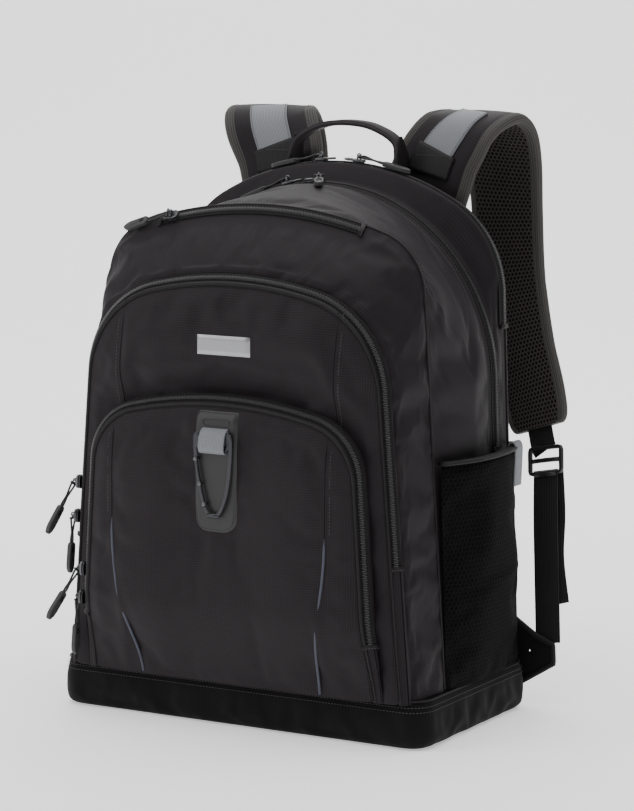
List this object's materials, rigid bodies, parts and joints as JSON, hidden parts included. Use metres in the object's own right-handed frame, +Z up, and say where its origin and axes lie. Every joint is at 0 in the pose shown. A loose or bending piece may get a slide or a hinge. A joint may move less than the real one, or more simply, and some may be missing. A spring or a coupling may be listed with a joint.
{
  "type": "school backpack",
  "caption": "Large arch-topped fabric backpack with zipped compartments, front pockets, mesh bottle pockets, padded shoulder straps and a haul handle.",
  "frame": {"origin": "middle of the base's underside, on the surface the pack stands on", "axes": "+Z up, the pocket side faces -Y, the wearer's side and the straps face +Y"},
  "size_m": [0.426, 0.3505, 0.5286],
  "materials": {
    "ripstop": "matte ripstop nylon, near black",
    "lining": "smooth lining",
    "spacer_mesh": "open spacer mesh over foam",
    "zip_tape": "woven tape with a nylon coil",
    "grey_webbing": "light grey ribbed webbing",
    "dark_webbing": "dark ribbed webbing",
    "piping": "blue-grey piping",
    "rubber_patch": "moulded rubber",
    "gunmetal": "satin gunmetal",
    "pull": "cord and moulded grip",
    "black_plastic": "satin black",
    "stiffener": "plain sheet",
    "badge": "plain satin badge, no lettering"
  },
  "bodies": {
    "bag": {"back_panel_pad": "spacer_mesh", "base_board": "stiffener", "base_boot": "ripstop", "bottle_pocket_bindings": "dark_webbing", "bottle_pocket_left": "spacer_mesh", "bottle_pocket_right": "spacer_mesh", "frame_sheet": "stiffener", "front_panel": "ripstop", "handle_anchors": "dark_webbing", "laptop_compartment_shell": "ripstop", "laptop_divider": "lining", "laptop_zip": "zip_tape", "lower_pocket_shell": "ripstop", "lower_pocket_zip": "zip_tape", "main_compartment_shell": "ripstop", "main_zip": "zip_tape", "name_badge": "badge", "organizer_divider": "lining", "piping_lower": "piping", "pocket_pull_tabs": "grey_webbing", "quick_access_zip": "zip_tape", "strap_wings": "ripstop", "strap_yokes": "ripstop", "upper_pocket_shell": "ripstop", "upper_pocket_zip": "zip_tape"},
    "main_slider_right": {"main_slider_right": "gunmetal"},
    "main_pull_right": {"main_pull_right": "pull"},
    "main_slider_left": {"main_slider_left": "gunmetal"},
    "main_pull_left": {"main_pull_left": "pull"},
    "laptop_slider_right": {"laptop_slider_right": "gunmetal"},
    "laptop_pull_right": {"laptop_pull_right": "pull"},
    "laptop_slider_left": {"laptop_slider_left": "gunmetal"},
    "laptop_pull_left": {"laptop_pull_left": "pull"},
    "upper_slider_top": {"upper_slider_top": "gunmetal"},
    "upper_pull_top": {"upper_pull_top": "pull"},
    "upper_slider_bottom": {"upper_slider_bottom": "gunmetal"},
    "upper_pull_bottom": {"upper_pull_bottom": "pull"},
    "lower_slider_top": {"lower_slider_top": "gunmetal"},
    "lower_pull_top": {"lower_pull_top": "pull"},
    "lower_slider_bottom": {"lower_slider_bottom": "gunmetal"},
    "lower_pull_bottom": {"lower_pull_bottom": "pull"},
    "quick_slider": {"quick_slider": "gunmetal"},
    "quick_pull": {"quick_pull": "pull"},
    "pocket_flap": {"lower_pocket_flap": "ripstop", "lower_pocket_zip_inner": "zip_tape", "piping_upper": "piping", "clip_patch": "rubber_patch"},
    "clip": {"clip_webbing_loop": "grey_webbing", "clip_frame": "gunmetal"},
    "clip_gate": {"clip_gate": "gunmetal"},
    "haul_handle": {"haul_handle": "dark_webbing"},
    "strap_right": {"shoulder_strap_right": "ripstop", "gear_loop_right": "grey_webbing", "ladder_lock_right": "black_plastic", "strap_webbing_right": "dark_webbing"},
    "strap_left": {"shoulder_strap_left": "ripstop", "gear_loop_left": "grey_webbing", "ladder_lock_left": "black_plastic", "strap_webbing_left": "dark_webbing"}
  },
  "joints": [
    {"name": "main_slider_right_travel", "type": "hinge", "parent": "bag", "child": "main_slider_right", "pos_m": [0, 0.05, 0.292], "axis": [0, 1, 0], "range_deg": [0, 82]},
    {"name": "main_pull_right_swing", "type": "hinge", "parent": "main_slider_right", "child": "main_pull_right", "pos_m": [-0.00629, 0.05, 0.47329], "axis": [-0.8655, -0.5, -0.03], "range_deg": [0, 110]},
    {"name": "main_slider_left_travel", "type": "hinge", "parent": "bag", "child": "main_slider_left", "pos_m": [0, 0.05, 0.292], "axis": [0, -1, 0], "range_deg": [0, 67.7]},
    {"name": "main_pull_left_swing", "type": "hinge", "parent": "main_slider_left", "child": "main_pull_left", "pos_m": [-0.0388, 0.05, 0.4692], "axis": [0, 1, 0], "range_deg": [0, 110]},
    {"name": "laptop_slider_right_travel", "type": "hinge", "parent": "bag", "child": "laptop_slider_right", "pos_m": [0, 0.076, 0.242], "axis": [0, 1, 0], "range_deg": [0, 21.7]},
    {"name": "laptop_pull_right_swing", "type": "hinge", "parent": "laptop_slider_right", "child": "laptop_pull_right", "pos_m": [0.0207, 0.076, 0.48954], "axis": [0, -1, 0], "range_deg": [0, 70]},
    {"name": "laptop_slider_left_travel", "type": "hinge", "parent": "bag", "child": "laptop_slider_left", "pos_m": [0, 0.076, 0.242], "axis": [0, -1, 0], "range_deg": [0, 22.2]},
    {"name": "laptop_pull_left_swing", "type": "hinge", "parent": "laptop_slider_left", "child": "laptop_pull_left", "pos_m": [-0.01863, 0.076, 0.4897], "axis": [0, 1, 0], "range_deg": [0, 70]},
    {"name": "upper_slider_top_travel", "type": "slide", "parent": "bag", "child": "upper_slider_top", "axis": [0.0785, 0, 0.9969], "range_m": [0, 0.095]},
    {"name": "upper_pull_top_swing", "type": "hinge", "parent": "upper_slider_top", "child": "upper_pull_top", "pos_m": [-0.16732, -0.1055, 0.20466], "axis": [-0.0368, 0.8829, -0.468], "range_deg": [0, 100]},
    {"name": "upper_slider_bottom_travel", "type": "slide", "parent": "bag", "child": "upper_slider_bottom", "axis": [0.0785, 0, 0.9969], "range_m": [-0.006, 0.007]},
    {"name": "upper_pull_bottom_swing", "type": "hinge", "parent": "upper_slider_bottom", "child": "upper_pull_bottom", "pos_m": [-0.16976, -0.1055, 0.17366], "axis": [0, 1, 0], "range_deg": [0, 100]},
    {"name": "lower_slider_top_travel", "type": "slide", "parent": "bag", "child": "lower_slider_top", "axis": [0.0645, 0, 0.9979], "range_m": [0, 0.094]},
    {"name": "lower_pull_top_swing", "type": "hinge", "parent": "lower_slider_top", "child": "lower_pull_top", "pos_m": [-0.15198, -0.1235, 0.13054], "axis": [-0.0342, 0.848, -0.5288], "range_deg": [0, 100]},
    {"name": "lower_slider_bottom_travel", "type": "slide", "parent": "bag", "child": "lower_slider_bottom", "axis": [0.0645, 0, 0.9979], "range_m": [-0.004, 0.005]},
    {"name": "lower_pull_bottom_swing", "type": "hinge", "parent": "lower_slider_bottom", "child": "lower_pull_bottom", "pos_m": [-0.15366, -0.1235, 0.10454], "axis": [0, 1, 0], "range_deg": [0, 100]},
    {"name": "quick_slider_travel", "type": "hinge", "parent": "bag", "child": "quick_slider", "pos_m": [0, -0.062, 0.0695], "axis": [0, 1, 0], "range_deg": [0, 26]},
    {"name": "quick_pull_swing", "type": "hinge", "parent": "quick_slider", "child": "quick_pull", "pos_m": [-0.08935, -0.06812, 0.44503], "axis": [-0.1705, 0.685, 0.7083], "range_deg": [0, 110]},
    {"name": "pocket_flap_fold", "type": "hinge", "parent": "bag", "child": "pocket_flap", "pos_m": [0, -0.136, 0.092], "axis": [1, 0, 0], "range_deg": [0, 70]},
    {"name": "clip_swing", "type": "hinge", "parent": "pocket_flap", "child": "clip", "pos_m": [0, -0.1385, 0.2665], "axis": [-1, 0, 0], "range_deg": [0, 80]},
    {"name": "clip_gate_swing", "type": "hinge", "parent": "clip", "child": "clip_gate", "pos_m": [-0.0172, -0.142, 0.2418], "axis": [0, -1, 0], "range_deg": [0, 25], "stiffness_Nm_per_rad": 0.02, "springref_deg": -17.19},
    {"name": "haul_handle_swing", "type": "hinge", "parent": "bag", "child": "haul_handle", "pos_m": [0, 0.092, 0.483], "axis": [-1, 0, 0], "range_deg": [-20, 20], "stiffness_Nm_per_rad": 0.04},
    {"name": "strap_right_swing", "type": "hinge", "parent": "bag", "child": "strap_right", "pos_m": [0.07, 0.1, 0.455], "axis": [0.3083, 0.0096, -0.9513], "range_deg": [-15, 14], "stiffness_Nm_per_rad": 1},
    {"name": "strap_left_swing", "type": "hinge", "parent": "bag", "child": "strap_left", "pos_m": [-0.07, 0.1, 0.455], "axis": [0.3083, -0.0096, 0.9513], "range_deg": [-15, 14], "stiffness_Nm_per_rad": 1}
  ]
}
